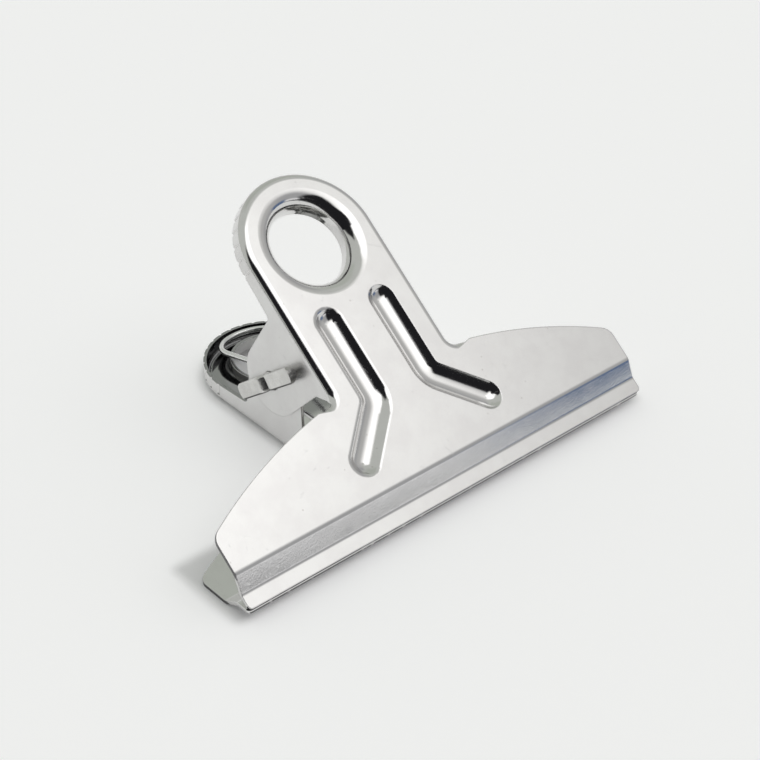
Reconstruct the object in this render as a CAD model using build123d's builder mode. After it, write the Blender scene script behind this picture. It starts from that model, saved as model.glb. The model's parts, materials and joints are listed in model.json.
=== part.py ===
from build123d import *

import math
import os

# Bulldog clip lying on its lower plate: X along the lips, +Y towards the handles, +Z up.
# Millimetres. The origin is the middle of the footprint. Each plate is drawn in its own
# terms: x across it, v from the bend behind its lip towards the handle's end, and depth
# from its outer face inwards.

# Pressed plates
sheet = 0.5                   # thickness of the steel
half_angle = 18.4             # from each plate to the plane that the lips close on
lip_gap = 0.1                 # left between the closed lips

# Jaw
jaw_width = 76.0              # along the lips
lip_length = 2.2              # strip that grips, parallel to the plate
lip_corner = 0.6              # radius of the strip's corners
step_length = 2.7             # run of the slope between plate and lip, along v
step_depth = 1.5              # how far the lip lies inside the plate
step_bend = 0.8               # bend radius at both ends of the slope
jaw_side_length = 5.5         # straight side, from the bend to its rounded corner
jaw_corner = 2.2              # radius of that corner
shoulder_rise = 9.65          # from the corners to the top of the shoulder's arc

# Handle
handle_width = 22.4           # of the upper handle, over its folded flanges
pivot_rise = 7.85             # from the top of the shoulder to the hinge axis
hole_rise = 13.5              # from the hinge axis to the centre of the hole and of the round end
fold_radius = 1.2             # outside radius of the folded edge
root_radius = 1.4             # corner between handle and shoulder
flange_at_end = 3.0           # depth of the flange at the round end
flange_at_ear = 3.4           # depth of the flange where the ear starts
flange_at_root = 2.4          # depth of the flange at the corner with the shoulder
fold_runout = 3.2             # stretch of shoulder along which the fold fades out
crimp_count = 17              # creases pressed into the flange of the round end
crimp_radius = 0.35
crimp_depth = 0.18

# Hole in the handle, with a collar drawn inwards
hole_radius = 6.0
collar_radius = 2.5           # outside radius of the drawn edge
collar_wall = 0.9             # straight wall between that edge and the collar's rim

# Ears and hinge
ear_tip_radius = 5.6          # round end of the ear, about the hinge axis
ear_jaw_side = 6.3            # from the hinge axis, along v, to where its jaw side leaves the flange
ear_handle_side = 6.6         # the same for its handle side
ear_root_radius = 0.8
ear_clearance = 0.12          # between an upper ear and the lower ear inside it
pin_diameter = 2.8
pin_clearance = 0.06          # radial, in the holes of the ears

# Split ends of the hinge pin
prong_angle = 141.0           # direction of the front prong about the hinge axis, from +Y
front_prong_reach = 7.6       # from the hinge axis to the tip of the prong towards the lips
back_prong_reach = 6.8        # the same for the prong towards the handle
prong_edge = 0.4              # rounding along a prong's flat side
prong_round = 1.25            # corner radius of its tip, seen along the hinge axis
prong_margin = 0.2            # by which the tip's outline is wider than the pin
prong_inside_bend = 0.25      # bend radius on the side of the ear
prong_slit = 0.1              # half the width of the slit between the prongs
prong_lift = 0.12             # between the ear and the start of the bend

# Stiffening grooves, pressed inwards
groove_inset = 5.63           # from the lower handle's side to a groove's straight stretch
groove_top_drop = 11.85       # from the centre of the hole to that of its round upper end
groove_knee_drop = 3.25       # from the top of the shoulder to the place where it turns outwards
groove_splay = 6.95           # how far its foot stands outside the straight stretch
groove_foot_v = 5.2           # from the bend to the centre of its round foot
groove_radius = 2.85          # of its round section
groove_depth = 1.04
groove_knee_radius = 3.5
groove_edge = 0.8             # rounding along its edge

# Double torsion spring
wire = 0.9
coil_clearance = 0.4          # between the pin and the coils
coil_spacing = 0.76           # between neighbouring turns
coil_turns = 2                # whole turns of each coil, besides the part turn between its legs
coil_side_gap = 1.1           # between the outer turn and the lower ear
leg_drop = 3.5                # from the hole's centre to the free legs' tips, under the upper plate
leg_gap = 0.06                # between the free legs and the upper plate
loop_gap = 0.2                # between the loop and what it presses on in the lower handle
loop_end_gap = 0.35           # between the loop and the flange of the round end
steps_per_turn = 4            # biarcs in each turn of a coil

# Sizes that follow
jaw_half = jaw_width / 2
upper_half = handle_width / 2
lower_half = upper_half - sheet - ear_clearance
lip_v = -step_length - lip_length
shoulder_top = jaw_side_length + shoulder_rise
pivot_distance = shoulder_top + pivot_rise
hole_distance = pivot_distance + hole_rise
shoulder_radius = (jaw_half**2 + shoulder_rise**2) / (2 * shoulder_rise)
slope = math.radians(half_angle)
pin_radius = pin_diameter / 2
pin_hole_radius = pin_radius + pin_clearance
prong_bend = pin_radius + prong_inside_bend
collar_height = collar_radius + collar_wall
groove_x = lower_half - groove_inset
wire_radius = wire / 2
coil_radius = pin_radius + coil_clearance + wire_radius
coil_width = (wire + coil_spacing) * coil_turns
leg_x = lower_half - sheet - coil_side_gap - wire_radius
loop_radius = leg_x - coil_width

# The lips' inner edges lie half a gap from the closing plane, which passes through the pivot
pivot_depth = (
    step_depth + sheet + lip_gap / (2 * math.cos(slope))
    + (pivot_distance - lip_v) * math.tan(slope)
)


def mirrored(v: float, depth: float) -> tuple[float, float]:
    """A point of the lower plate's side view, carried across the closing plane."""
    dv = v - pivot_distance
    dz = depth - pivot_depth
    cos2 = math.cos(2 * slope)
    sin2 = math.sin(2 * slope)
    return pivot_distance + dv * cos2 + dz * sin2, pivot_depth + dv * sin2 - dz * cos2


def shoulder(x: float) -> float:
    """Height v of the shoulder's arc at a distance x from the middle line."""
    return shoulder_top - shoulder_radius + math.sqrt(shoulder_radius**2 - x**2)


def tangent_angle(centre, radius: float, point, side: int) -> float:
    """Direction, from the centre, of the point where a line through point touches the circle."""
    dv = point[0] - centre[0]
    dz = point[1] - centre[1]
    return math.atan2(dz, dv) + side * math.acos(radius / math.hypot(dv, dz))


def on_circle(centre, radius: float, angle: float) -> tuple[float, float]:
    """The point of a circle in the side view at an angle from +Y."""
    return centre[0] + radius * math.cos(angle), centre[1] + radius * math.sin(angle)


# The bend line's place puts the origin in the middle of the footprint
front_v = mirrored(lip_v, step_depth)[0]
back_v = hole_distance + lower_half
bend_y = -(front_v + back_v) / 2
plate_plane = Plane(origin=(0, bend_y, 0))
side_plane = Plane(origin=(0, bend_y, 0), x_dir=(0, 1, 0), z_dir=(1, 0, 0))
pivot = (0, bend_y + pivot_distance, pivot_depth)
closing_plane = Plane(origin=pivot, x_dir=(1, 0, 0), z_dir=(0, -math.sin(slope), math.cos(slope)))


def corners(sketch: BuildSketch, *points) -> list[Vertex]:
    """The sketch's corners that lie nearest to the given points."""
    return [sketch.vertices().sort_by_distance(point)[0] for point in points]


def jaw_sheet(half: float) -> Part:
    """The flat of the jaw with its stepped lip, reaching a little way under the handle."""
    inner = half - fold_radius - sheet
    tongue = shoulder_top + root_radius
    runout_x = half + fold_runout
    inset_v = shoulder(half) - fold_radius - sheet
    mitre = sheet * math.tan(math.atan2(step_depth, step_length) / 2)
    with BuildPart() as jaw:
        with BuildSketch(side_plane) as section:
            with BuildLine():
                Polyline(
                    (lip_v, step_depth), (-step_length, step_depth), (0, 0), (tongue, 0),
                    (tongue, sheet), (mitre, sheet), (mitre - step_length, step_depth + sheet),
                    (lip_v, step_depth + sheet), close=True,
                )
            make_face()
            inside_bends = corners(section, (-step_length, step_depth), (mitre, sheet))
            fillet(inside_bends, step_bend)
            outside_bends = corners(section, (0, 0), (mitre - step_length, step_depth + sheet))
            fillet(outside_bends, step_bend + sheet)
        extrude(amount=jaw_half, both=True)
        with BuildSketch(plate_plane) as outline:
            with BuildLine():
                neck = Polyline((inner, tongue), (inner, inset_v), (runout_x, shoulder(runout_x)))
                RadiusArc(neck @ 1, (jaw_half, jaw_side_length), shoulder_radius)
                Polyline(
                    (jaw_half, jaw_side_length), (jaw_half, lip_v), (0, lip_v), (0, tongue), neck @ 0,
                )
            make_face()
            fillet(corners(outline, (jaw_half, jaw_side_length)), jaw_corner)
            fillet(corners(outline, (jaw_half, lip_v)), lip_corner)
            mirror(about=Plane.YZ)
        extrude(amount=step_depth + 2 * sheet, mode=Mode.INTERSECT)
    return jaw.part


def handle_block(half: float, inset: float) -> Part:
    """A solid of the handle's plan, set in from its outside, with the fold along its lower edge."""
    runout_x = half + fold_runout
    base = shoulder(runout_x) - 2 * fold_radius
    with BuildPart() as block:
        with BuildSketch(plate_plane.offset(inset)) as outline:
            with BuildLine():
                ThreePointArc(
                    (-runout_x, shoulder(runout_x)), (0, shoulder_top), (runout_x, shoulder(runout_x)),
                )
                Polyline(
                    (runout_x, shoulder(runout_x)), (runout_x, base), (-runout_x, base),
                    (-runout_x, shoulder(runout_x)),
                )
            make_face()
            with Locations((0, (base + hole_distance) / 2)):
                Rectangle(2 * half, hole_distance - base)
            with Locations((0, hole_distance)):
                Circle(half)
            fillet(corners(outline, (half, shoulder(half)), (-half, shoulder(half))), root_radius)
            if inset > 0:
                offset(amount=-inset, kind=Kind.INTERSECTION)
        extrude(amount=pivot_depth + ear_tip_radius)
        folded = block.edges().group_by(Axis.Z)[0].filter_by(
            lambda e: e.center().Y > bend_y + base + fold_radius
        )
        fillet(folded, fold_radius - inset)
    return block.part


def handle_tray(half: float) -> Part:
    """The handle with its folded flange and ears, and the fold's run-out along the shoulder."""
    base = shoulder(half + fold_runout) - 2 * fold_radius
    far = hole_distance + half + sheet
    centre = (pivot_distance, pivot_depth)
    jaw_root = (pivot_distance - ear_jaw_side, flange_at_ear)
    handle_root = (pivot_distance + ear_handle_side, flange_at_ear)
    jaw_touch = tangent_angle(centre, ear_tip_radius, jaw_root, -1)
    handle_touch = tangent_angle(centre, ear_tip_radius, handle_root, 1)
    jaw_side = on_circle(centre, ear_tip_radius, jaw_touch)
    handle_side = on_circle(centre, ear_tip_radius, handle_touch)
    with BuildPart() as tray:
        add(handle_block(half, 0))
        add(handle_block(half, sheet), mode=Mode.SUBTRACT)
        with BuildSketch(side_plane) as profile:
            with BuildLine():
                Polyline(
                    handle_side, handle_root, (hole_distance, flange_at_end), (far, flange_at_end),
                    (far, 0), (base, 0), (base, sheet), (shoulder(half), sheet),
                    (shoulder(half) + root_radius, flange_at_root), jaw_root, jaw_side,
                )
                ThreePointArc(jaw_side, (pivot_distance, pivot_depth + ear_tip_radius), handle_side)
            make_face()
            fillet(corners(profile, jaw_root, handle_root), ear_root_radius)
        extrude(amount=half + fold_runout + sheet, both=True, mode=Mode.INTERSECT)
        with BuildSketch(plate_plane.offset(fold_radius)):
            with Locations((0, hole_distance)):
                with PolarLocations(half + crimp_radius - crimp_depth, crimp_count, 0, 180, endpoint=True):
                    Circle(crimp_radius)
        extrude(amount=flange_at_end, mode=Mode.SUBTRACT)
    return tray.part


def groove_bar(radius: float) -> Part:
    """A pair of round-ended bars along the grooves, centred outside the plate's outer face."""
    with BuildPart() as bar:
        with BuildLine(plate_plane.offset(groove_depth - groove_radius)) as path:
            FilletPolyline(
                (groove_x, hole_distance - groove_top_drop),
                (groove_x, shoulder_top - groove_knee_drop),
                (groove_x + groove_splay, groove_foot_v), radius=groove_knee_radius,
            )
        with BuildSketch(Plane(origin=path.line @ 0, z_dir=path.line % 0)):
            Circle(radius)
        sweep()
        with Locations(path.line @ 0, path.line @ 1):
            Sphere(radius)
        mirror(about=Plane.YZ)
    return bar.part


def groove_backs() -> Part:
    """The outsides of the grooves, as they bulge from the plate's inner face."""
    with BuildPart() as backs:
        add(groove_bar(groove_radius + sheet))
        split(bisect_by=plate_plane, keep=Keep.TOP)
    return backs.part


def pressed_plate(half: float) -> Part:
    """One whole pressing, lying on its outer face, with a handle of the given half width."""
    hole_plane = Plane(origin=(0, bend_y + hole_distance, 0), x_dir=(1, 0, 0), z_dir=(0, -1, 0))
    drawn_radius = hole_radius + collar_radius
    with BuildPart() as plate:
        add(jaw_sheet(half))
        add(handle_tray(half))
        with BuildSketch(plate_plane):
            with Locations((0, hole_distance)):
                Circle(drawn_radius)
        extrude(amount=sheet, mode=Mode.SUBTRACT)
        with BuildSketch(hole_plane):
            with BuildLine():
                RadiusArc((drawn_radius, 0), (hole_radius, collar_radius), collar_radius)
                Polyline(
                    (hole_radius, collar_radius), (hole_radius, collar_height),
                    (hole_radius + sheet, collar_height), (hole_radius + sheet, collar_radius),
                )
                RadiusArc(
                    (hole_radius + sheet, collar_radius), (drawn_radius, sheet), sheet - collar_radius,
                )
                Line((drawn_radius, sheet), (drawn_radius, 0))
            make_face()
        revolve(axis=Axis(hole_plane.origin, (0, 0, 1)))
        add(groove_backs())
        add(groove_bar(groove_radius), mode=Mode.SUBTRACT)
        outer_face = plate.faces().group_by(Axis.Z)[0].sort_by(SortBy.AREA)[-1]
        rims = [rim for rim in outer_face.inner_wires() if abs(rim.center().X) > groove_radius]
        fillet([edge for rim in rims for edge in rim.edges()], groove_edge)
        with BuildSketch(side_plane):
            with Locations((pivot_distance, pivot_depth)):
                Circle(pin_hole_radius)
        extrude(amount=half + sheet, both=True, mode=Mode.SUBTRACT)
    return plate.part


def prong(end: int, direction: float, reach: float) -> Part:
    """One half-round prong at an end of the pin, bent over the ear.

    end is the side of the clip, +1 or -1 along X. direction is in degrees about the hinge axis.
    """
    angle = math.radians(direction)
    out = Vector(end, 0, 0)
    along = Vector(0, math.cos(angle), math.sin(angle))
    start = Vector(*pivot) + out * bend_start
    bend_centre = start + along * prong_bend
    with BuildPart() as bent:
        with BuildSketch(Plane(origin=start, x_dir=along, z_dir=out)) as section:
            Circle(pin_radius)
            with Locations((prong_slit - pin_radius, 0)):
                Rectangle(2 * pin_radius, 2 * pin_radius, mode=Mode.SUBTRACT)
            fillet(section.vertices(), prong_edge)
        revolve(axis=Axis(bend_centre, along.cross(out)), revolution_arc=-90)
        extrude(bent.faces().sort_by(Axis(bend_centre, along))[-1], amount=reach - prong_bend)
        with BuildSketch(Plane(origin=start, x_dir=along, z_dir=out)) as outline:
            with Locations((reach / 2, 0)):
                Rectangle(reach, 2 * pin_radius + prong_margin)
            fillet(outline.vertices().sort_by(Axis.X)[-2:], prong_round)
        extrude(amount=2 * prong_bend, mode=Mode.INTERSECT)
    return bent.part


def coil_point(turned: float, total: float) -> tuple[Vector, Vector]:
    """A point of the right coil's centre line, and its direction there.

    turned is the angle wound so far from the loop's leg, and total the whole angle of the coil.
    The pitch eases in and out over a quarter turn, so that both legs leave it square to the pin.
    """
    quarter = math.pi / 2
    rate = coil_width / (total - quarter)
    eased_in = min(turned, quarter)
    eased_out = max(0.0, turned - (total - quarter))
    advance = rate * (
        eased_in**2 / (2 * quarter) + max(0.0, turned - quarter) - eased_out**2 / (2 * quarter)
    )
    lead = rate * min(1.0, turned / quarter, (total - turned) / quarter)
    at = loop_touch - turned
    y, z = on_circle(axle, coil_radius, at)
    point = Vector(loop_radius + advance, y, z)
    heading = Vector(lead, coil_radius * math.sin(at), -coil_radius * math.cos(at))
    return point, heading.normalized()


def biarc(start: Vector, start_heading: Vector, end: Vector, end_heading: Vector) -> None:
    """Two tangent arcs from one point and direction to another, with equal handles."""
    span = end - start
    both = start_heading + end_heading
    bend = 2 * (1 - start_heading.dot(end_heading))
    reach = span.dot(both)
    handle = (math.sqrt(reach**2 + bend * span.dot(span)) - reach) / bend
    middle = (start + start_heading * handle + end - end_heading * handle) * 0.5
    TangentArc(start, middle, tangent=start_heading)
    TangentArc(end, middle, tangent=end_heading * -1)


def least_gap(path: Wire) -> float:
    """Least gap between stretches of the wire that aren't neighbours, measured on points."""
    count = round(path.length / (wire / 4))
    points = [path.position_at(i / count) for i in range(count + 1)]
    skip = round(count * 4 * wire / path.length)
    return min(
        (points[i] - points[j]).length
        for i in range(count + 1)
        for j in range(i + skip, count + 1)
    ) - wire


with BuildPart() as lower_jaw:
    add(pressed_plate(lower_half))

with BuildPart() as upper_jaw:
    add(pressed_plate(upper_half))
    mirror(about=closing_plane, mode=Mode.REPLACE)

# Hinge pin, split and bent over at both ends
bend_start = upper_half + prong_lift
with BuildPart() as hinge_pin:
    with BuildSketch(Plane(origin=pivot, z_dir=(1, 0, 0))):
        Circle(pin_radius)
    extrude(amount=bend_start, both=True)
    for end in (1, -1):
        add(prong(end, prong_angle, front_prong_reach))
        add(prong(end, prong_angle + 180, back_prong_reach))

# Double torsion spring: free leg, coil, loop in the lower handle, coil, free leg
# The loop rests on the collar's rim where it crosses it, or on the plate if it meets that first
axle = (pivot[1], pivot[2])
rim_radius = hole_radius + sheet
loop_reach = lower_half - sheet - loop_end_gap - wire_radius
loop_shift = loop_reach - loop_radius
crossing = (loop_shift**2 + rim_radius**2 - loop_radius**2) / (2 * loop_shift)
rim_seat = (pivot[1] + hole_rise + crossing, collar_height + loop_gap + wire_radius)
plate_seat = (pivot[1] + hole_rise + loop_reach, sheet + loop_gap + wire_radius)
loop_touch = max(tangent_angle(axle, coil_radius, seat, -1) for seat in (rim_seat, plate_seat))
leg_v, leg_depth = mirrored(hole_distance - leg_drop, sheet + leg_gap + wire_radius)
leg_tip = (bend_y + leg_v, leg_depth)
leg_touch = tangent_angle(axle, coil_radius, leg_tip, 1)
coil_turn = (loop_touch - leg_touch) % (2 * math.pi) + 2 * math.pi * coil_turns
quarter_count = math.ceil(coil_turn / (2 * math.pi) * steps_per_turn)
coil_stations = [coil_point(coil_turn * i / quarter_count, coil_turn) for i in range(quarter_count + 1)]
loop_start, toward_coil = coil_stations[0]
loop_heading = toward_coil * -1
loop_length = (plate_seat[0] - loop_start.Y) / loop_heading.Y
loop_end = loop_start + loop_heading * loop_length
arc_start = loop_end - loop_heading * loop_radius
arc_end = Vector(0, loop_end.Y, loop_end.Z)
coil_end = coil_stations[-1][0]
with BuildPart() as torsion_spring:
    with BuildLine() as centre_line:
        TangentArc(arc_start, arc_end, tangent=loop_heading)
        Line(loop_start, arc_start)
        for (start, heading), (stop, stop_heading) in zip(coil_stations, coil_stations[1:]):
            biarc(start, heading, stop, stop_heading)
        Line(coil_end, (coil_end.X, *leg_tip))
        mirror(about=Plane.YZ)
    path = centre_line.wire()
    with BuildSketch(Plane(origin=path @ 0, z_dir=path % 0)):
        Circle(wire_radius)
    sweep(path=path)
print(f"spring: {path.length:.2f} mm of wire, least gap to itself {least_gap(path):.2f} mm, "
      f"volume {torsion_spring.part.volume / (path.length * math.pi * wire_radius**2):.4f} of its tube")

pieces = {
    "lower_jaw": lower_jaw,
    "upper_jaw": upper_jaw,
    "hinge_pin": hinge_pin,
    "torsion_spring": torsion_spring,
}
os.makedirs("parts", exist_ok=True)
for name, piece in pieces.items():
    piece.part.label = name
    export_step(piece.part, f"parts/{name}.step")
print(f"hinge axis at y {pivot[1]:.4f}, z {pivot[2]:.4f}; bend line at y {bend_y:.4f}")
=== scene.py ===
"""Looks of a bulldog clip: bright plated jaws, a split hinge pin and a spring of drawn wire.

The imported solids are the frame, and every piece sits where the frame says. Lengths are in
metres, apart from names that end in _mm. The clip lies on its lower plate, with X along the
lips, +Y towards the handles and +Z up.
"""

import json
import logging
import math
from dataclasses import dataclass
from enum import Enum

import bmesh
import bpy
from mathutils import Matrix, Vector


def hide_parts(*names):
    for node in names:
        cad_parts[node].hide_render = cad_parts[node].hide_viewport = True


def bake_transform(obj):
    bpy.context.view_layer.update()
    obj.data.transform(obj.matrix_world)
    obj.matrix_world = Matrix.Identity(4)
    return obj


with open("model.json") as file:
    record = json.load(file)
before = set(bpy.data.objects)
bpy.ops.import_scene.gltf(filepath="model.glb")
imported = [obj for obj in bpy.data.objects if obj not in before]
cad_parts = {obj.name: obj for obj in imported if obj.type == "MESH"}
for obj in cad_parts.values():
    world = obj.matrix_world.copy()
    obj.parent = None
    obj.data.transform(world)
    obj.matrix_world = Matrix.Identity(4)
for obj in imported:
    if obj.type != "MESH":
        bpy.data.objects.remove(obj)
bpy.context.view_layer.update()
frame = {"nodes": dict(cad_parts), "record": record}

LOG = logging.getLogger("bulldog_clip")
MM = 0.001
LIP_PLANE_SLOPE = 18.4
Colour = tuple[float, float, float]
Socket = bpy.types.NodeSocket
Edge = bmesh.types.BMEdge


class Body(Enum):
    """The bodies that turn against each other."""

    LOWER = "lower"
    UPPER = "upper"


class Slot(Enum):
    """The material slots of the pieces that take the place of solids."""

    SPRING_WIRE = "spring_wire"


class Graph:
    """A node tree with short calls to add nodes and to link them."""

    def __init__(self, tree: bpy.types.NodeTree) -> None:
        """Takes a tree and clears it.

        Args:
            tree: the node tree of a material, a world or a group.
        """
        self.tree = tree
        self.tree.nodes.clear()

    def add(self, kind: str, links: dict | None = None, **settings: object) -> bpy.types.Node:
        """Adds a node.

        Args:
            kind: the node's type without its ShaderNode prefix, or a full type name.
            links: input names or numbers, each with a value or with a socket to link from.
            settings: properties of the node.

        Returns:
            The new node.
        """
        node = self.tree.nodes.new(kind if kind.startswith("Node") else "ShaderNode" + kind)
        for key, value in settings.items():
            setattr(node, key, value)
        for key, value in (links or {}).items():
            if isinstance(value, Socket):
                self.tree.links.new(value, node.inputs[key])
            else:
                node.inputs[key].default_value = value
        return node

    def math(self, operation: str, *values: object, clamp: bool = False) -> Socket:
        """Adds a Math node.

        Args:
            operation: the node's operation.
            values: numbers or sockets for its inputs, in order.
            clamp: whether the result is held between 0 and 1.

        Returns:
            The node's output.
        """
        links = dict(enumerate(values))
        return self.add("Math", links, operation=operation, use_clamp=clamp).outputs[0]

    def vector(self, operation: str, *values: object, output: str = "Vector") -> Socket:
        """Adds a Vector Math node.

        Args:
            operation: the node's operation.
            values: vectors or sockets for its inputs, in order.
            output: the name of the output wanted.

        Returns:
            The node's output of that name.
        """
        return self.add("VectorMath", dict(enumerate(values)), operation=operation).outputs[output]

    def ramp(self, value: Socket, low: float, high: float) -> Socket:
        """Maps a value smoothly so that low becomes 0 and high becomes 1.

        Args:
            value: the socket to map.
            low: the value that becomes 0.
            high: the value that becomes 1.

        Returns:
            The mapped value.
        """
        links = {"Value": value, "From Min": low, "From Max": high}
        return self.add("MapRange", links, interpolation_type="SMOOTHSTEP").outputs["Result"]

    def noise(self, place: Socket, scale: object, detail: float, roughness: float = 0.5) -> Socket:
        """Adds a Noise Texture.

        Args:
            place: the coordinates that it reads.
            scale: its scale, a number or a socket.
            detail: its number of octaves.
            roughness: how strong the finer octaves are.

        Returns:
            The noise's value.
        """
        links = {"Vector": place, "Scale": scale, "Detail": detail, "Roughness": roughness}
        return self.add("TexNoise", links).outputs["Fac"]

    def blend(self, factor: object, first: object, second: object) -> Socket:
        """Mixes two colours.

        Args:
            factor: how much of the second one there is.
            first: a colour or a socket.
            second: a colour or a socket.

        Returns:
            The mixed colour.
        """
        node = self.add("Mix", data_type="RGBA")
        for number, value in ((0, factor), (6, first), (7, second)):
            if isinstance(value, Socket):
                self.tree.links.new(value, node.inputs[number])
            elif number:
                node.inputs[number].default_value = (*value, 1.0)
            else:
                node.inputs[number].default_value = value
        return node.outputs[2]


def new_group(name: str, inputs: dict[str, float], outputs: list[str]) -> tuple[bpy.types.NodeTree, Graph]:
    """Starts a shader node group that reads a vector.

    Args:
        name: the group's name.
        inputs: number inputs with their default values.
        outputs: names of its number outputs.

    Returns:
        The group and a graph to fill it with.
    """
    tree = bpy.data.node_groups.new(name, "ShaderNodeTree")
    tree.interface.new_socket("Vector", in_out="INPUT", socket_type="NodeSocketVector")
    for socket_name, value in inputs.items():
        socket = tree.interface.new_socket(socket_name, in_out="INPUT", socket_type="NodeSocketFloat")
        socket.default_value = value
    for socket_name in outputs:
        tree.interface.new_socket(socket_name, in_out="OUTPUT", socket_type="NodeSocketFloat")
    return tree, Graph(tree)


def new_material(name: str) -> tuple[bpy.types.Material, Graph]:
    """Starts an empty node material.

    Args:
        name: the material's name.

    Returns:
        The material and a graph to fill it with.
    """
    material = bpy.data.materials.new(name)
    material.use_nodes = True
    return material, Graph(material.node_tree)


def new_piece(name: str, shape: bmesh.types.BMesh, material: bpy.types.Material) -> bpy.types.Object:
    """Turns a finished bmesh into a smooth piece of the scene.

    Args:
        name: the piece's name.
        shape: its bmesh, which is freed.
        material: its finish.

    Returns:
        The piece's object, at the origin.
    """
    for face in shape.faces:
        face.smooth = True
    mesh = bpy.data.meshes.new(name)
    shape.to_mesh(mesh)
    shape.free()
    mesh.materials.append(material)
    piece = bpy.data.objects.new(name, mesh)
    bpy.context.scene.collection.objects.link(piece)
    return piece


@dataclass(frozen=True)
class SurfaceEffects:
    """The node groups that the metals share.

    Attributes:
        hairlines: fine scratches in a few directions.
        mottle: the cloudiness and grain of plating.
        specks: small dark pits.
    """

    hairlines: bpy.types.NodeTree
    mottle: bpy.types.NodeTree
    specks: bpy.types.NodeTree

    LINE_AXIS = (0.0, -0.3, 1.0)
    LINE_TURNS = (0.35, 1.25, 2.1, 2.8)
    STREAK_RANGE = (0.7, 0.75)
    PATCH_SCALE = 90.0
    PATCH_SCALE_STEP = 23.0
    PATCH_RANGE = (0.5, 0.62)
    CLOUD_RANGE = (0.3, 0.7)
    GRAIN_TO_CLOUD = 14.0
    SWELL_TO_CLOUD = 0.4
    PIT_RANGE = (0.17, 0.07)

    @classmethod
    def build(cls) -> "SurfaceEffects":
        """Builds the three groups.

        Returns:
            The groups.
        """
        return cls(cls.make_hairlines(), cls.make_mottle(), cls.make_specks())

    @classmethod
    def make_hairlines(cls) -> bpy.types.NodeTree:
        """Builds the group of fine scratches.

        Returns:
            A group with inputs Vector, Scale and Stretch, and the output Mask.
        """
        tree, graph = new_group("hairlines", {"Scale": 1500.0, "Stretch": 0.035}, ["Mask"])
        source = graph.add("NodeGroupInput").outputs
        stretch = graph.add("CombineXYZ", {"X": 1.0, "Y": source["Stretch"], "Z": 1.0}).outputs[0]
        total: Socket | None = None
        for index, turn in enumerate(cls.LINE_TURNS):
            links = {"Vector": source["Vector"], "Axis": cls.LINE_AXIS, "Angle": turn}
            turned = graph.add("VectorRotate", links).outputs[0]
            streaks = graph.noise(graph.vector("MULTIPLY", turned, stretch), source["Scale"], 1.0)
            patches = graph.noise(turned, cls.PATCH_SCALE + cls.PATCH_SCALE_STEP * index, 1.0)
            thin = graph.ramp(streaks, *cls.STREAK_RANGE)
            line = graph.math("MULTIPLY", thin, graph.ramp(patches, *cls.PATCH_RANGE))
            total = line if total is None else graph.math("MAXIMUM", total, line)
        graph.add("NodeGroupOutput", {"Mask": total})
        return tree

    @classmethod
    def make_mottle(cls) -> bpy.types.NodeTree:
        """Builds the group for the cloudiness of a plated sheet.

        Returns:
            A group with inputs Vector and Scale, and outputs Cloud, Grain and Swell, each 0 to 1.
        """
        tree, graph = new_group("mottle", {"Scale": 260.0}, ["Cloud", "Grain", "Swell"])
        source = graph.add("NodeGroupInput").outputs
        place = source["Vector"]
        fine = graph.math("MULTIPLY", source["Scale"], cls.GRAIN_TO_CLOUD)
        broad = graph.math("MULTIPLY", source["Scale"], cls.SWELL_TO_CLOUD)
        cloud = graph.noise(place, source["Scale"], detail=4.0, roughness=0.6)
        grain = graph.noise(place, fine, detail=3.0, roughness=0.6)
        swell = graph.noise(place, broad, detail=1.0)
        graph.add("NodeGroupOutput", {
            "Cloud": graph.ramp(cloud, *cls.CLOUD_RANGE),
            "Grain": graph.ramp(grain, *cls.CLOUD_RANGE),
            "Swell": swell,
        })
        return tree

    @classmethod
    def make_specks(cls) -> bpy.types.NodeTree:
        """Builds the group of small dark pits.

        Returns:
            A group with inputs Vector, Scale and Share, and the output Mask.
        """
        tree, graph = new_group("specks", {"Scale": 900.0, "Share": 0.05}, ["Mask"])
        source = graph.add("NodeGroupInput").outputs
        cells = graph.add("TexVoronoi", {"Vector": source["Vector"], "Scale": source["Scale"]})
        draw = graph.add("SeparateColor", {"Color": cells.outputs["Color"]}).outputs[0]
        chosen = graph.math("LESS_THAN", draw, source["Share"])
        dot = graph.ramp(cells.outputs["Distance"], *cls.PIT_RANGE)
        graph.add("NodeGroupOutput", {"Mask": graph.math("MULTIPLY", chosen, dot)})
        return tree


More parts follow.
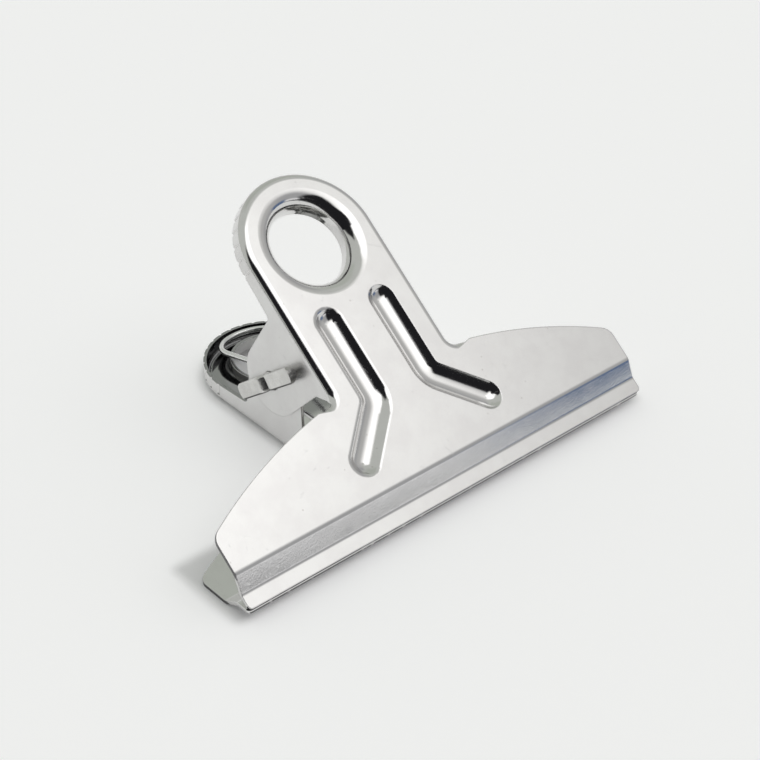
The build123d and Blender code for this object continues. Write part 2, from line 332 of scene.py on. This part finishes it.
@dataclass(frozen=True)
class PlatedSheet:
    """Bright plated sheet steel with clouds, hairlines and pits, with shade painted dark along the lip
    gap, on the cut edges and inside the handle.

    A place on the plate is told by v, from the bend behind the lip towards the handle, and by
    its depth from the outer face inwards.

    Attributes:
        name: the material's name.
        bend_mm: y and z of the bend behind the lip, on the outer face.
        slope: of the plate, in degrees from the floor.
        inwards: 1 if the inner face lies above the outer one, or -1 if it lies below.
        lip_shade_mm: stretches of shade painted along the lip gap, each with the v that it ends at and its
            two depths.
        colour: the reflection's colour.
        tint: the colour of its cloudy parts.
        lip_shade: the dark colour of the shade painted along the lip gap.
        wall: the dark colour painted on the wall round the inside of the handle, as shade.
        tray_shade: the darker colour painted on the other faces inside the handle, as shade.
        edge: the dark colour painted on the cut edges of the plate, as shade.
        edge_shade_share: how strongly that colour shows.
        pit: the colour of small pits.
        pit_share: how strongly they show.
        roughness: of the clean surface.
        side_roughness: what faces that look sideways, such as the ears, add to it.
        cloud_roughness: what clouds add to it.
        line_roughness: what hairlines add to it.
        swell_mm: height of the sheet's waves.
        grain_mm: height of the plating's grain.
        edge_mm: radius with which the cut edges turn over.
        hole_mm: v of the middle of the handle's hole.
        tray_mm: the least distance from there to the wall.
        soft_mm: width over which a stretch of painted lip shade begins.
    """

    name: str
    bend_mm: tuple[float, float]
    slope: float
    inwards: int
    lip_shade_mm: tuple[tuple[float, float, float], ...]
    colour: Colour = (0.72, 0.717, 0.71)
    tint: Colour = (0.69, 0.682, 0.678)
    lip_shade: Colour = (0.02, 0.02, 0.022)
    wall: Colour = (0.03, 0.03, 0.032)
    tray_shade: Colour = (0.38, 0.38, 0.385)
    edge: Colour = (0.08, 0.08, 0.085)
    edge_shade_share: float = 0.9
    pit: Colour = (0.3, 0.26, 0.23)
    pit_share: float = 0.28
    roughness: float = 0.07
    side_roughness: float = 0.26
    cloud_roughness: float = 0.04
    line_roughness: float = 0.16
    swell_mm: float = 0.01
    grain_mm: float = 0.0006
    edge_mm: float = 0.22
    hole_mm: float = 36.5
    tray_mm: float = 9.4
    soft_mm: float = 0.03

    # Values at which each mask is 0 and 1
    INNER_FACING = (0.3, 0.6)
    INNER_DEPTH_MM = (0.2, 0.4)
    HANDLE_MM = (23.0, 25.0)
    CUT_FACING = (0.5, 0.3)
    CUT_DEPTH_MM = (0.62, 0.55)
    WALL_FACING = (-0.35, -0.7)
    WALL_DEPTH_MM = (0.6, 1.2)
    WALL_START_MM = (-5.0, -1.0)
    SIDEWAYS = (0.9, 0.98)
    WORN_RANGE = (0.56, 0.62)

    WALL_SOFT_MM = 0.3
    WORN_STRETCH = (1.0, 0.05, 0.05)
    WORN_SCALE = 650.0
    WORN_SHARE = 0.75

    def plate_place(self, graph: Graph, place: Socket) -> tuple[Socket, Socket]:
        """Adds the nodes that give a place on the plate, in mm.

        Args:
            graph: the material's graph.
            place: coordinates on the solid.

        Returns:
            v and the depth.
        """
        tilt = math.radians(self.slope)
        along = (0.0, math.cos(tilt) / MM, math.sin(tilt) / MM)
        inward = (0.0, -self.inwards * math.sin(tilt) / MM, self.inwards * math.cos(tilt) / MM)
        bend = (0.0, self.bend_mm[0] * MM, self.bend_mm[1] * MM)
        off = graph.vector("SUBTRACT", place, bend)
        v = graph.vector("DOT_PRODUCT", off, along, output="Value")
        depth = graph.vector("DOT_PRODUCT", off, inward, output="Value")
        return v, depth

    def side_masks(self, graph: Graph, normal: Socket, v: Socket, depth: Socket) -> tuple[Socket, Socket]:
        """Adds the nodes that find the handle's inner faces and the plate's cut edges, where shade is
        painted.

        Args:
            graph: the material's graph.
            normal: direction of the surface, on the solid.
            v: of the place on the plate.
            depth: of the place on the plate.

        Returns:
            A value of 1 on those faces, and one on those edges.
        """
        tilt = math.radians(self.slope)
        inward = (0.0, -self.inwards * math.sin(tilt), self.inwards * math.cos(tilt))
        facing = graph.vector("DOT_PRODUCT", normal, inward, output="Value")
        turned = graph.ramp(facing, *self.INNER_FACING)
        behind = graph.math("MULTIPLY", turned, graph.ramp(depth, *self.INNER_DEPTH_MM))
        inside = graph.math("MULTIPLY", behind, graph.ramp(v, *self.HANDLE_MM))
        upright = graph.ramp(graph.math("ABSOLUTE", facing), *self.CUT_FACING)
        return inside, graph.math("MULTIPLY", upright, graph.ramp(depth, *self.CUT_DEPTH_MM))

    def wall_shade_mask(self, graph: Graph, place: Socket, normal: Socket, v: Socket, depth: Socket) -> Socket:
        """Adds the nodes that find the wall round the inside of the handle's round end, where shade is
        painted.

        Args:
            graph: the material's graph.
            place: coordinates on the solid.
            normal: direction of the surface, on the solid.
            v: of the place on the plate.
            depth: of the place on the plate.

        Returns:
            A value of 1 on that wall.
        """
        tilt = math.radians(self.slope)
        along = (0.0, math.cos(tilt), math.sin(tilt))
        x = graph.math("DIVIDE", graph.add("SeparateXYZ", {0: place}).outputs["X"], MM)
        up = graph.math("SUBTRACT", v, self.hole_mm)
        radius = graph.math("SQRT", graph.math("MULTIPLY_ADD", x, x, graph.math("MULTIPLY", up, up)))
        across = graph.math("MULTIPLY", x, graph.add("SeparateXYZ", {0: normal}).outputs["X"])
        lengthwise = graph.vector("DOT_PRODUCT", normal, along, output="Value")
        outward = graph.math("DIVIDE", graph.math("MULTIPLY_ADD", up, lengthwise, across), radius)
        turned = graph.ramp(outward, *self.WALL_FACING)
        facing = graph.math("MULTIPLY", turned, graph.ramp(depth, *self.WALL_DEPTH_MM))
        beyond = graph.ramp(radius, self.tray_mm, self.tray_mm + self.WALL_SOFT_MM)
        where = graph.math("MULTIPLY", beyond, graph.ramp(up, *self.WALL_START_MM))
        return graph.math("MULTIPLY", facing, where)

    def lip_shade_mask(self, graph: Graph, place: Socket, v: Socket, depth: Socket) -> Socket:
        """Adds the nodes that find where shade is painted along the lip gap, broken up by worn spots.

        Args:
            graph: the material's graph.
            place: coordinates on the solid.
            v: of the place on the plate.
            depth: of the place on the plate.

        Returns:
            A value of 1 where the lip shade is painted.
        """
        soft = self.soft_mm
        total: object = 0.0
        for ends_at, low, high in self.lip_shade_mm:
            reach = graph.ramp(v, ends_at + soft, ends_at - soft)
            above = graph.ramp(depth, low - soft, low + soft)
            below = graph.ramp(depth, high + soft, high - soft)
            part = graph.math("MULTIPLY", reach, graph.math("MULTIPLY", above, below))
            total = graph.math("MAXIMUM", total, part)
        lengthwise = graph.vector("MULTIPLY", place, self.WORN_STRETCH)
        spots = graph.noise(lengthwise, self.WORN_SCALE, detail=3.0, roughness=0.7)
        worn = graph.ramp(spots, *self.WORN_RANGE)
        return graph.math("MULTIPLY", total, graph.math("MULTIPLY_ADD", worn, -self.WORN_SHARE, 1.0))

    def build(self, effects: SurfaceEffects) -> bpy.types.Material:
        """Makes the material.

        Args:
            effects: the shared node groups.

        Returns:
            The finished material.
        """
        material, graph = new_material(self.name)
        source = graph.add("TexCoord").outputs
        place = source["Object"]
        normal = source["Normal"]
        mottle = graph.add("Group", node_tree=effects.mottle)
        lines = graph.add("Group", node_tree=effects.hairlines)
        pits = graph.add("Group", node_tree=effects.specks)
        for node in (mottle, lines, pits):
            graph.tree.links.new(place, node.inputs["Vector"])
        cloud = mottle.outputs["Cloud"]
        clean = graph.blend(cloud, self.colour, self.tint)
        pitted = graph.blend(graph.math("MULTIPLY", pits.outputs["Mask"], self.pit_share), clean, self.pit)
        v, depth = self.plate_place(graph, place)
        inside, cut = self.side_masks(graph, normal, v, depth)
        # Shade painted dark on the plate's cut edges.
        edge_shaded = graph.blend(graph.math("MULTIPLY", cut, self.edge_shade_share), pitted, self.edge)
        # Shade painted on the faces inside the handle.
        tray_shaded = graph.blend(inside, edge_shaded, self.tray_shade)
        # Shade painted dark on the wall round the inside of the handle.
        wall_shaded = graph.blend(self.wall_shade_mask(graph, place, normal, v, depth), tray_shaded, self.wall)
        # Shade painted dark along the lip gap.
        lip_shaded = graph.blend(self.lip_shade_mask(graph, place, v, depth), wall_shaded, self.lip_shade)
        sideways = graph.math("ABSOLUTE", graph.add("SeparateXYZ", {0: normal}).outputs["X"])
        flank = graph.ramp(sideways, *self.SIDEWAYS)
        matt = graph.math("MULTIPLY_ADD", flank, self.side_roughness, self.roughness)
        cloudy = graph.math("MULTIPLY_ADD", cloud, self.cloud_roughness, matt)
        worn = graph.math("MULTIPLY_ADD", lines.outputs["Mask"], self.line_roughness, cloudy, clamp=True)
        edges = graph.add("Bevel", {"Radius": self.edge_mm * MM}, samples=6).outputs["Normal"]
        swell = graph.add("Bump", {
            "Height": mottle.outputs["Swell"], "Strength": 1.0,
            "Distance": self.swell_mm * MM, "Normal": edges,
        }).outputs["Normal"]
        grain = graph.add("Bump", {
            "Height": mottle.outputs["Grain"], "Strength": 1.0,
            "Distance": self.grain_mm * MM, "Normal": swell,
        }).outputs["Normal"]
        shader = graph.add("BsdfPrincipled", {
            "Base Color": lip_shaded, "Metallic": 1.0, "Roughness": worn, "Normal": grain,
        })
        graph.add("OutputMaterial", {"Surface": shader.outputs["BSDF"]})
        return material


@dataclass(frozen=True)
class SplitPinSteel:
    """Soft plated steel that is grainy where it was split and bent.

    Attributes:
        name: the material's name.
        colour: the reflection's colour.
        tint: the colour of its cloudy parts.
        pit: the colour of its pits.
        pit_share: how strongly they show.
        back: the dark colour painted on the prongs' undersides, as shade.
        roughness: of the surface between the grains.
        grain_roughness: what the grain adds to it.
        grain_mm: height of the grain.
        edge_mm: radius with which the edges turn over.
    """

    name: str = "split_pin_steel"
    colour: Colour = (0.74, 0.735, 0.72)
    tint: Colour = (0.6, 0.595, 0.58)
    pit: Colour = (0.2, 0.19, 0.18)
    pit_share: float = 0.6
    back: Colour = (0.015, 0.015, 0.016)
    roughness: float = 0.26
    grain_roughness: float = 0.14
    grain_mm: float = 0.05
    edge_mm: float = 0.12

    CLOUD_SCALE = 420.0
    GRAIN_SCALE = 2600.0
    PIT_COUNT = 0.3
    UNDERSIDE_SHADE = (-0.15, -0.45)

    def build(self, effects: SurfaceEffects) -> bpy.types.Material:
        """Makes the material.

        Args:
            effects: the shared node groups.

        Returns:
            The finished material.
        """
        material, graph = new_material(self.name)
        source = graph.add("TexCoord").outputs
        place = source["Object"]
        mottle = graph.add("Group", {"Vector": place, "Scale": self.CLOUD_SCALE}, node_tree=effects.mottle)
        pits = graph.add("Group", {
            "Vector": place, "Scale": self.GRAIN_SCALE, "Share": self.PIT_COUNT,
        }, node_tree=effects.specks)
        clean = graph.blend(mottle.outputs["Cloud"], self.colour, self.tint)
        pitted = graph.blend(graph.math("MULTIPLY", pits.outputs["Mask"], self.pit_share), clean, self.pit)
        upward = graph.add("SeparateXYZ", {0: source["Normal"]}).outputs["Z"]
        # Shade painted dark on the prongs' downward faces.
        underside_shaded = graph.blend(graph.ramp(upward, *self.UNDERSIDE_SHADE), pitted, self.back)
        rough = graph.math("MULTIPLY_ADD", mottle.outputs["Grain"], self.grain_roughness, self.roughness)
        edges = graph.add("Bevel", {"Radius": self.edge_mm * MM}, samples=6).outputs["Normal"]
        grain = graph.add("Bump", {
            "Height": graph.noise(place, self.GRAIN_SCALE, detail=2.0, roughness=0.6), "Strength": 0.8,
            "Distance": self.grain_mm * MM, "Normal": edges,
        }).outputs["Normal"]
        shader = graph.add("BsdfPrincipled", {
            "Base Color": underside_shaded, "Metallic": 1.0, "Roughness": rough, "Normal": grain,
        })
        graph.add("OutputMaterial", {"Surface": shader.outputs["BSDF"]})
        return material


@dataclass(frozen=True)
class DrawnWire:
    """Bright spring wire with fine lines along it from the drawing die.

    Attributes:
        name: the material's name.
        colour: the reflection's colour.
        tint: the colour of the lines.
        roughness: of the wire between the lines.
        cloud_roughness: what clouds add to it.
        line_mm: height of the lines.
    """

    name: str = "drawn_spring_wire"
    colour: Colour = (0.82, 0.825, 0.82)
    tint: Colour = (0.6, 0.6, 0.59)
    roughness: float = 0.16
    cloud_roughness: float = 0.1
    line_mm: float = 0.02

    LINE_SCALE = 9.0
    LINE_RANGE = (0.45, 0.75)
    CLOUD_SCALE = 500.0

    def build(self, effects: SurfaceEffects) -> bpy.types.Material:
        """Makes the material.

        Args:
            effects: the shared node groups.

        Returns:
            The finished material.
        """
        material, graph = new_material(self.name)
        place = graph.add("TexCoord").outputs["Object"]
        around = graph.add("Attribute", attribute_name=TorsionSpring.AROUND).outputs["Vector"]
        lines = graph.noise(around, self.LINE_SCALE, detail=3.0, roughness=0.7)
        mottle = graph.add("Group", {"Vector": place, "Scale": self.CLOUD_SCALE}, node_tree=effects.mottle)
        colour = graph.blend(graph.ramp(lines, *self.LINE_RANGE), self.colour, self.tint)
        rough = graph.math("MULTIPLY_ADD", mottle.outputs["Cloud"], self.cloud_roughness, self.roughness)
        drawn = graph.add("Bump", {
            "Height": lines, "Strength": 0.6, "Distance": self.line_mm * MM,
        }).outputs["Normal"]
        shader = graph.add("BsdfPrincipled", {
            "Base Color": colour, "Metallic": 1.0, "Roughness": rough, "Normal": drawn,
        })
        graph.add("OutputMaterial", {"Surface": shader.outputs["BSDF"]})
        return material


@dataclass
class TorsionSpring:
    """The double torsion spring: free leg, coil, loop in the lower handle, coil, free leg.

    One half is drawn from the tip of its free leg to the middle of the loop, and mirrored.
    Angles are in degrees about the hinge, from +Y towards +Z.

    Attributes:
        axle: a point of the hinge's axis.
        wire_mm: diameter of the wire.
        coil_mm: radius of the coil, at the middle of the wire.
        leg_x_mm: the free leg's distance from the middle of the clip.
        loop_x_mm: the same for the loop's side, and the radius of its round end.
        leg_touch: where the free leg leaves the coil.
        loop_touch: where the loop leaves it, after its whole turns.
        leg_mm: length of the free leg.
        loop_mm: length of the loop's straight side.
    """

    axle: Vector
    wire_mm: float = 0.9
    coil_mm: float = 2.25
    leg_x_mm: float = 8.53
    loop_x_mm: float = 5.21
    leg_touch: float = 163.706
    loop_touch: float = 974.128
    leg_mm: float = 14.196
    loop_mm: float = 19.113

    AROUND = "around_wire"
    SIDES = 16
    TIP_RINGS = ((0.68, 0.04), (0.92, 0.07))
    COIL_STEPS = 80
    LOOP_STEPS = 14
    MERGE_MM = 0.02
    WELD_MM = 0.005

    def section(self, shape: bmesh.types.BMesh, centre: Vector, along: Vector) -> list[Edge]:
        """Draws the wire's cut end and its first full ring, with a place round the wire for each point.

        Args:
            shape: the bmesh to draw in.
            centre: the middle of the cut end.
            along: direction of the wire, away from the end.

        Returns:
            The edges of the full ring.
        """
        radius = self.wire_mm / 2 * MM
        turn = along.to_track_quat("Z", "Y").to_matrix().to_4x4()
        share, _ = self.TIP_RINGS[0]
        layer = shape.verts.layers.float_vector.new(self.AROUND)
        made = bmesh.ops.create_circle(
            shape, cap_ends=True, segments=self.SIDES, radius=radius * share,
            matrix=Matrix.Translation(centre) @ turn,
        )
        for vert in shape.verts:
            vert[layer] = (turn.to_3x3().inverted() @ (vert.co - centre)).normalized()
        edges = list({edge for vert in made["verts"] for edge in vert.link_edges})
        shares = [ring[0] for ring in self.TIP_RINGS] + [1.0]
        for (before, step), after in zip(self.TIP_RINGS, shares[1:]):
            centre = centre + along * step * MM
            edges = self.run(shape, edges, along * step * MM)
            verts = list({vert for edge in edges for vert in edge.verts})
            bmesh.ops.scale(
                shape, vec=(after / before,) * 3, verts=verts, space=Matrix.Translation(-centre),
            )
        return edges

    def run(self, shape: bmesh.types.BMesh, edges: list[Edge], step: Vector) -> list[Edge]:
        """Carries the wire's open end straight on.

        Args:
            shape: the bmesh.
            edges: the ring of edges at the open end.
            step: how far and which way it goes.

        Returns:
            The new ring of edges.
        """
        made = bmesh.ops.extrude_edge_only(shape, edges=edges)["geom"]
        verts = [item for item in made if isinstance(item, bmesh.types.BMVert)]
        bmesh.ops.translate(shape, vec=step, verts=verts)
        ends = set(verts)
        return [
            item for item in made
            if isinstance(item, Edge) and item.verts[0] in ends and item.verts[1] in ends
        ]

    def build(self, finish: bpy.types.Material) -> bpy.types.Object:
        """Builds the spring and puts it in place of its solid.

        Args:
            finish: the wire's material.

        Returns:
            The spring's object.
        """
        shape = bmesh.new()
        coil = self.coil_mm * MM
        leg_at = math.radians(self.leg_touch)
        loop_at = math.radians(self.loop_touch)
        leg_way = Vector((0.0, math.sin(leg_at), -math.cos(leg_at)))
        loop_way = Vector((0.0, -math.sin(loop_at), math.cos(loop_at)))
        leg_x = self.leg_x_mm * MM
        leg_start = self.axle + Vector((leg_x, coil * math.cos(leg_at), coil * math.sin(leg_at)))
        loop_start = self.axle + Vector((0.0, coil * math.cos(loop_at), coil * math.sin(loop_at)))
        tip = leg_start + leg_way * self.leg_mm * MM
        edges = self.section(shape, tip, -leg_way)
        tip_length = sum(step for _, step in self.TIP_RINGS)
        edges = self.run(shape, edges, -leg_way * (self.leg_mm - tip_length) * MM)
        steps = self.COIL_STEPS
        pitch = Vector(((self.loop_x_mm - self.leg_x_mm) * MM / steps, 0.0, 0.0))
        made = bmesh.ops.spin(
            shape, geom=edges, cent=self.axle, axis=(1.0, 0.0, 0.0), dvec=pitch,
            angle=loop_at - leg_at, steps=steps, use_merge=False,
        )["geom_last"]
        edges = [item for item in made if isinstance(item, Edge)]
        edges = self.run(shape, edges, loop_way * self.loop_mm * MM)
        middle = loop_start + loop_way * self.loop_mm * MM
        bmesh.ops.spin(
            shape, geom=edges, cent=middle, axis=Vector((1.0, 0.0, 0.0)).cross(loop_way),
            angle=math.pi / 2, steps=self.LOOP_STEPS, use_merge=False,
        )
        half = list(shape.verts) + list(shape.edges) + list(shape.faces)
        bmesh.ops.mirror(shape, geom=half, axis="X", merge_dist=self.MERGE_MM * MM)
        bmesh.ops.remove_doubles(shape, verts=list(shape.verts), dist=self.WELD_MM * MM)
        bmesh.ops.recalc_face_normals(shape, faces=list(shape.faces))
        spring = new_piece("spring", shape, finish)
        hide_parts("torsion_spring")
        return spring

    def bend(self, spring: bpy.types.Object, slope: float) -> None:
        """Bakes the spring's placement into its mesh.

        Args:
            spring: the spring's object.
            slope: of the plane that the lips close on, in degrees; not used.
        """
        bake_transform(spring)


@dataclass(frozen=True)
class PhotoCamera:
    """The camera, at the place and with the lens that the photograph was taken with.

    Attributes:
        azimuth: direction of the camera round the clip, in degrees.
        elevation: its height above the horizon, in degrees.
        roll: its turn about the line of sight, in degrees.
        aside_mm: the frame's origin to the right of the picture's middle.
        above_mm: the frame's origin above the picture's middle.
        distance_mm: from the frame's origin, along the line of sight.
        lens: focal length for a sensor of the standard width.
        nearest: distance at which it starts to see, in metres.
        farthest: distance at which it stops.
    """

    azimuth: float = -43.175
    elevation: float = 35.322
    roll: float = 1.825
    aside_mm: float = -6.173
    above_mm: float = -6.070
    distance_mm: float = 280.12
    lens: float = 88.67
    nearest: float = 0.01
    farthest: float = 10.0

    def build(self) -> bpy.types.Object:
        """Makes the camera and gives it to the scene.

        Returns:
            The camera's object.
        """
        turn = math.radians(self.azimuth)
        tilt = math.radians(self.elevation)
        right = Vector((math.cos(turn), math.sin(turn), 0.0))
        back = Vector((
            math.sin(turn) * math.cos(tilt), -math.cos(turn) * math.cos(tilt), math.sin(tilt),
        ))
        level = Matrix((right, back.cross(right), back)).transposed()
        rolled = level @ Matrix.Rotation(math.radians(self.roll), 3, "Z")
        shift = Vector((self.aside_mm, self.above_mm, -self.distance_mm)) * MM
        data = bpy.data.cameras.new("photo_camera")
        data.lens = self.lens
        data.clip_start = self.nearest
        data.clip_end = self.farthest
        camera = bpy.data.objects.new("photo_camera", data)
        camera.matrix_world = Matrix.Translation(rolled @ -shift) @ rolled.to_4x4()
        bpy.context.scene.collection.objects.link(camera)
        bpy.context.scene.camera = camera
        return camera


@dataclass(frozen=True)
class Panel:
    """A soft-edged patch of the surround, bright or dark.

    Attributes:
        azimuth: direction of its middle, in degrees from +X towards +Y.
        half_width: from its middle to its sides, in degrees.
        low: elevation of its lower edge, in degrees.
        high: elevation of its upper edge, in degrees.
        soft: width over which its edges fade, in degrees.
        light: its colour and brightness.
    """

    azimuth: float
    half_width: float
    low: float
    high: float
    soft: float
    light: Colour

    def mask(self, graph: Graph, direction: Socket) -> Socket:
        """Adds the nodes that find where the patch lies.

        Args:
            graph: the world's graph.
            direction: the direction that is looked at.

        Returns:
            A value of 1 inside the patch and 0 outside.
        """
        turn = math.radians(self.azimuth)
        level = graph.vector("NORMALIZE", graph.vector("MULTIPLY", direction, (1.0, 1.0, 0.0)))
        facing = (math.cos(turn), math.sin(turn), 0.0)
        away = graph.math("ARCCOSINE", graph.vector("DOT_PRODUCT", level, facing, output="Value"))
        height = graph.math("ARCSINE", graph.add("SeparateXYZ", {0: direction}).outputs["Z"])
        half = self.soft / 2
        inside = [math.radians(value) for value in (self.half_width + half, self.half_width - half)]
        above = [math.radians(value) for value in (self.low - half, self.low + half)]
        below = [math.radians(value) for value in (self.high + half, self.high - half)]
        sides = graph.ramp(away, *inside)
        ends = graph.math("MULTIPLY", graph.ramp(height, *above), graph.ramp(height, *below))
        return graph.math("MULTIPLY", sides, ends)


@dataclass(frozen=True)
class Studio:
    """The pale floor and the soft light round the clip.

    Attributes:
        floor_half: half the side of the floor.
        floor_colour: its paint.
        floor_roughness: its roughness.
        floor_specular: its specular level.
        floor_glow: light that comes up through it, as on a light table.
        dusk: direction on the floor in which its reflection falls into the dark.
        dusk_mm: where that starts and where it ends, from the clip's middle.
        dusk_colour: its paint there, which only glossy rays see, so that the metal shows a painted dark
            reflection.
        shade_mm: width of the shade round what lies on the floor.
        shade_share: the light that is left in it.
        jaw_y_mm: the middle of the lower jaw's footprint.
        jaw_half_mm: half its length and half its depth.
        handle_y_mm: the middle of the lower handle's round end.
        handle_half_mm: the radius of that end, and half the handle's width.
        handle_from_mm: where the handle begins.
        surround: brightness of the walls and ceiling.
        panels: patches of the surround, each laid over those before it.
    """

    floor_half: float = 1.5
    floor_colour: Colour = (0.85, 0.85, 0.855)
    floor_roughness: float = 0.7
    floor_specular: float = 0.1
    floor_glow: float = 0.34
    dusk: tuple[float, float, float] = (-0.68, -0.73, 0.0)
    dusk_mm: tuple[float, float] = (85.0, 135.0)
    dusk_colour: Colour = (0.02, 0.02, 0.022)
    shade_mm: float = 2.6
    shade_share: float = 0.2
    jaw_y_mm: float = -18.0
    jaw_half_mm: tuple[float, float] = (38.0, 6.0)
    handle_y_mm: float = 15.58
    handle_half_mm: float = 9.8
    handle_from_mm: float = -20.0
    surround: Colour = (0.60, 0.615, 0.585)
    panels: tuple[Panel, ...] = (
        Panel(25.0, 35.0, -10.0, 20.0, 20.0, (0.70, 0.70, 0.69)),
        Panel(60.0, 35.0, 22.0, 62.0, 20.0, (0.51, 0.535, 0.49)),
        Panel(-45.0, 65.0, -10.0, 42.0, 14.0, (0.437, 0.44, 0.445)),
        Panel(-20.0, 22.0, 15.0, 48.0, 20.0, (0.56, 0.56, 0.55)),
        Panel(-75.0, 52.0, 44.0, 88.0, 32.0, (1.54, 1.525, 1.51)),
        Panel(-95.0, 60.0, 56.0, 84.0, 14.0, (1.65, 1.65, 1.65)),
        Panel(214.0, 40.0, -8.0, 60.0, 8.0, (0.016, 0.016, 0.018)),
        Panel(252.0, 35.0, -8.0, 42.0, 10.0, (0.016, 0.016, 0.018)),
        Panel(-63.0, 12.5, -7.0, 7.0, 8.0, (0.90, 0.90, 0.91)),
        Panel(-43.5, 9.5, -4.0, 12.0, 6.0, (0.12, 0.18, 0.31)),
    )

    def shade(self, graph: Graph, place: Socket) -> Socket:
        """Adds the nodes for a shadow painted on the floor round the lower jaw and handle, by taking down
        its glow.

        Args:
            graph: the floor's graph.
            place: coordinates on the floor.

        Returns:
            The share of the light, 1 away from the clip.
        """
        parts = graph.add("SeparateXYZ", {0: graph.vector("MULTIPLY", place, (1 / MM,) * 3)}).outputs
        aside = graph.math("ABSOLUTE", parts["X"])
        forward = graph.math("ABSOLUTE", graph.math("SUBTRACT", parts["Y"], self.jaw_y_mm))
        half_length, half_depth = self.jaw_half_mm
        beyond_side = graph.math("MAXIMUM", graph.math("SUBTRACT", aside, half_length), 0.0)
        beyond_front = graph.math("MAXIMUM", graph.math("SUBTRACT", forward, half_depth), 0.0)
        front_squared = graph.math("POWER", beyond_front, 2.0)
        jaw = graph.math("SQRT", graph.math("MULTIPLY_ADD", beyond_side, beyond_side, front_squared))
        end = graph.math("MAXIMUM", graph.math("SUBTRACT", parts["Y"], self.handle_y_mm), 0.0)
        end_squared = graph.math("POWER", end, 2.0)
        from_middle = graph.math("SQRT", graph.math("MULTIPLY_ADD", aside, aside, end_squared))
        beyond_handle = graph.math("SUBTRACT", from_middle, self.handle_half_mm)
        before_handle = graph.math("SUBTRACT", self.handle_from_mm, parts["Y"])
        handle = graph.math("MAXIMUM", beyond_handle, before_handle)
        clear = graph.ramp(graph.math("MINIMUM", jaw, handle), 0.0, self.shade_mm)
        return graph.math("MULTIPLY_ADD", clear, 1.0 - self.shade_share, self.shade_share)

    def floor(self) -> bpy.types.Object:
        """Makes the floor.

        Returns:
            The floor's object.
        """
        material, graph = new_material("pale_floor")
        place = graph.add("TexCoord").outputs["Object"]
        away = graph.vector("DOT_PRODUCT", place, self.dusk, output="Value")
        # Far off in the dusk direction the floor is painted dark for glossy rays only: a painted dark
        # reflection in the metal.
        mirrored = graph.add("LightPath").outputs["Is Glossy Ray"]
        far = graph.ramp(away, *(value * MM for value in self.dusk_mm))
        dark = graph.math("MULTIPLY", far, mirrored)
        paint = graph.blend(dark, self.floor_colour, self.dusk_colour)
        glow = graph.math("MULTIPLY_ADD", dark, -self.floor_glow, self.floor_glow)
        # A contact shadow painted on the floor: its glow is taken down round the lower jaw and handle.
        glow = graph.math("MULTIPLY", glow, self.shade(graph, place))
        shader = graph.add("BsdfPrincipled", {
            "Base Color": paint, "Roughness": self.floor_roughness,
            "Specular IOR Level": self.floor_specular,
            "Emission Color": (1.0, 1.0, 1.0, 1.0), "Emission Strength": glow,
        })
        graph.add("OutputMaterial", {"Surface": shader.outputs["BSDF"]})
        shape = bmesh.new()
        bmesh.ops.create_grid(shape, x_segments=1, y_segments=1, size=self.floor_half)
        floor = new_piece("floor", shape, material)
        return floor

    def world(self) -> None:
        """Sets the surround with its panels."""
        world = bpy.data.worlds.new("studio")
        bpy.context.scene.world = world
        world.use_nodes = True
        graph = Graph(world.node_tree)
        direction = graph.vector("NORMALIZE", graph.add("TexCoord").outputs["Generated"])
        light: object = self.surround
        for panel in self.panels:
            light = graph.blend(panel.mask(graph, direction), light, panel.light)
        background = graph.add("Background", {"Color": light, "Strength": 1.0})
        graph.add("OutputWorld", {"Surface": background.outputs["Background"]})


def dress(node_name: str, material: bpy.types.Material) -> None:
    """Gives a solid of the frame its finish.

    Args:
        node_name: the solid's node.
        material: its finish.
    """
    node = frame["nodes"][node_name]
    node.data.materials.clear()
    node.data.materials.append(material)
    LOG.info("%s is dressed in %s", node_name, material.name)


def main() -> None:
    """Dresses the clip and sets the studio round it."""
    logging.basicConfig(level=logging.INFO)
    bpy.context.scene.view_settings.view_transform = "Standard"
    effects = SurfaceEffects.build()
    hinge = frame["record"]["behaviour"]["joints"][0]
    # The stretches given to each plate paint shade along the lip gap.
    lower_plate = PlatedSheet(
        "lower_plate", bend_mm=(-20.925, 0.0), slope=0.0, inwards=1,
        lip_shade_mm=((-4.8, 1.0, 1.7), (-4.3, 1.95, 3.0)),
    )
    upper_plate = PlatedSheet(
        "upper_plate", bend_mm=(-23.131, 6.632), slope=36.8, inwards=-1,
        lip_shade_mm=((-4.3, 1.6, 3.0),),
    )
    dress("lower_jaw", lower_plate.build(effects))
    dress("upper_jaw", upper_plate.build(effects))
    dress("hinge_pin", SplitPinSteel().build(effects))
    spring = TorsionSpring(Vector(hinge["pos_m"]))
    wire = spring.build(DrawnWire().build(effects))
    spring.bend(wire, LIP_PLANE_SLOPE)
    LOG.info("%s has %d faces", wire.name, len(wire.data.polygons))
    PhotoCamera().build()
    studio = Studio()
    studio.floor()
    studio.world()


if __name__ == "__main__":
    main()
